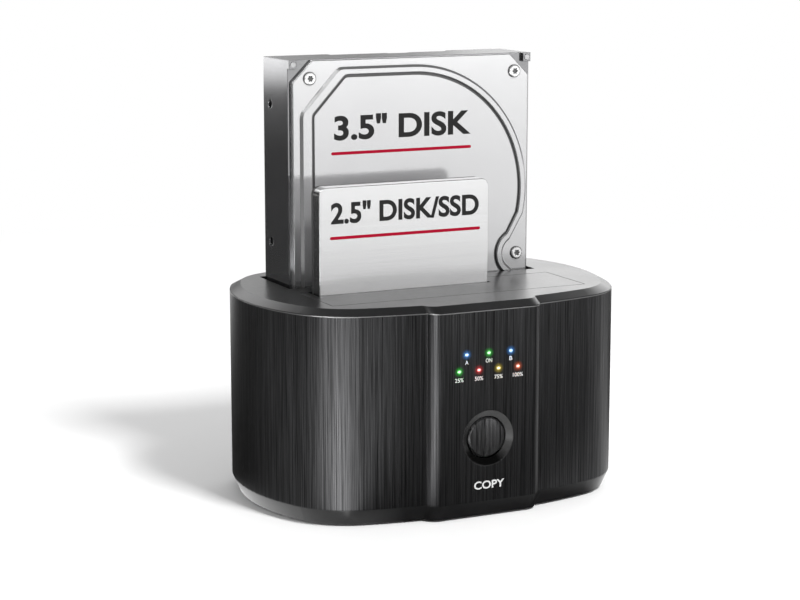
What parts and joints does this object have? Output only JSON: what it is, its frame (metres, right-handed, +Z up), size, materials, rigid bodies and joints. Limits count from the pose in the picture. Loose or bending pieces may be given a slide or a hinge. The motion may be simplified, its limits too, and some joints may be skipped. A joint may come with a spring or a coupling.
{
  "type": "drive duplicator dock",
  "caption": "Oval desktop drive duplicator with top bays under spring flaps, a large and a small drive standing in it, a clone button, status lamps and rear ports.",
  "frame": {"origin": "centre of the footprint of the whole part, on the plane of the rubber feet", "axes": "+Z up, +X to the right seen from the front, -Y towards the user and the clone button"},
  "size_m": [0.1458, 0.108, 0.1642],
  "materials": {
    "brushed_black": "brushed black film over plastic",
    "satin_black": "satin black plastic",
    "black_plastic": "fine matt black plastic",
    "rubber": "matt black rubber",
    "steel": "plain steel",
    "button_metal": "dark brushed aluminium",
    "clear": "clear moulded plastic with a frosted tip",
    "board_green": "green glass-fibre board",
    "lid_silver": "satin pressed aluminium",
    "cast_dark": "dark coated die casting",
    "ssd_silver": "horizontally brushed aluminium",
    "chip_black": "moulded epoxy"
  },
  "bodies": {
    "dock": {"top_cover": "satin_black", "side_sleeve": "brushed_black", "base_tray": "satin_black", "rubber_feet": "rubber", "case_screws": "steel", "bay_guide": "black_plastic", "guide_screws": "steel", "flap_pins": "steel", "front_flap_spring": "steel", "rear_flap_spring": "steel", "sata_socket_front": "black_plastic", "sata_socket_rear": "black_plastic", "main_board": "board_green", "board_screws": "steel", "board_chips": "chip_black", "power_coils": "chip_black", "board_capacitors": "steel", "front_board": "board_green", "front_board_screws": "steel", "lamps": "clear", "light_pipes": "clear", "button_bezel": "satin_black", "push_switch": "black_plastic", "rear_panel": "black_plastic", "usb_socket": "steel", "power_jack": "black_plastic", "power_jack_pin": "steel", "power_switch": "black_plastic"},
    "front_dust_flap": {"front_flap": "satin_black"},
    "rear_dust_flap": {"rear_flap": "satin_black"},
    "button": {"clone_button": "button_metal"},
    "plunger": {"switch_plunger": "black_plastic"},
    "rocker": {"power_rocker": "black_plastic"},
    "hard_drive": {"hdd_casting": "cast_dark", "hdd_cover": "lid_silver", "hdd_cover_screws": "steel", "hdd_corner_pins": "steel", "hdd_circuit_board": "board_green", "hdd_sata_plug": "black_plastic"},
    "solid_state_drive": {"ssd_cover": "ssd_silver", "ssd_base": "ssd_silver", "ssd_screws": "steel", "ssd_sata_plug": "black_plastic"}
  },
  "joints": [
    {"name": "front_flap_hinge", "type": "hinge", "parent": "dock", "child": "front_dust_flap", "pos_m": [0, -0.03645, 0.0754], "axis": [-1, 0, 0], "range_deg": [0, 88], "stiffness_Nm_per_rad": 0.006, "springref_deg": -28.65},
    {"name": "rear_flap_play", "type": "hinge", "parent": "dock", "child": "rear_dust_flap", "pos_m": [0, 0.00245, 0.0754], "axis": [-1, 0, 0], "range_deg": [0, 2], "stiffness_Nm_per_rad": 0.006, "springref_deg": -28.65},
    {"name": "clone_button_slide", "type": "slide", "parent": "dock", "child": "button", "axis": [0, 1, 0], "range_m": [0, 0.0006], "stiffness_N_per_m": 500},
    {"name": "switch_plunger_slide", "type": "slide", "parent": "dock", "child": "plunger", "axis": [0, 1, 0], "range_m": [0, 0.0006]},
    {"name": "power_rocker_pivot", "type": "hinge", "parent": "dock", "child": "rocker", "pos_m": [0.025, 0.04975, 0.0166], "axis": [1, 0, 0], "range_deg": [0, 24]},
    {"name": "hard_drive_lift", "type": "slide", "parent": "dock", "child": "hard_drive", "axis": [0, 0, 1], "range_m": [0, 0.08]},
    {"name": "solid_state_drive_lift", "type": "slide", "parent": "dock", "child": "solid_state_drive", "axis": [0, 0, 1], "range_m": [0, 0.08]}
  ],
  "couplings": [
    {"joint": "switch_plunger_slide", "follows": "clone_button_slide", "ratio": 1}
  ]
}
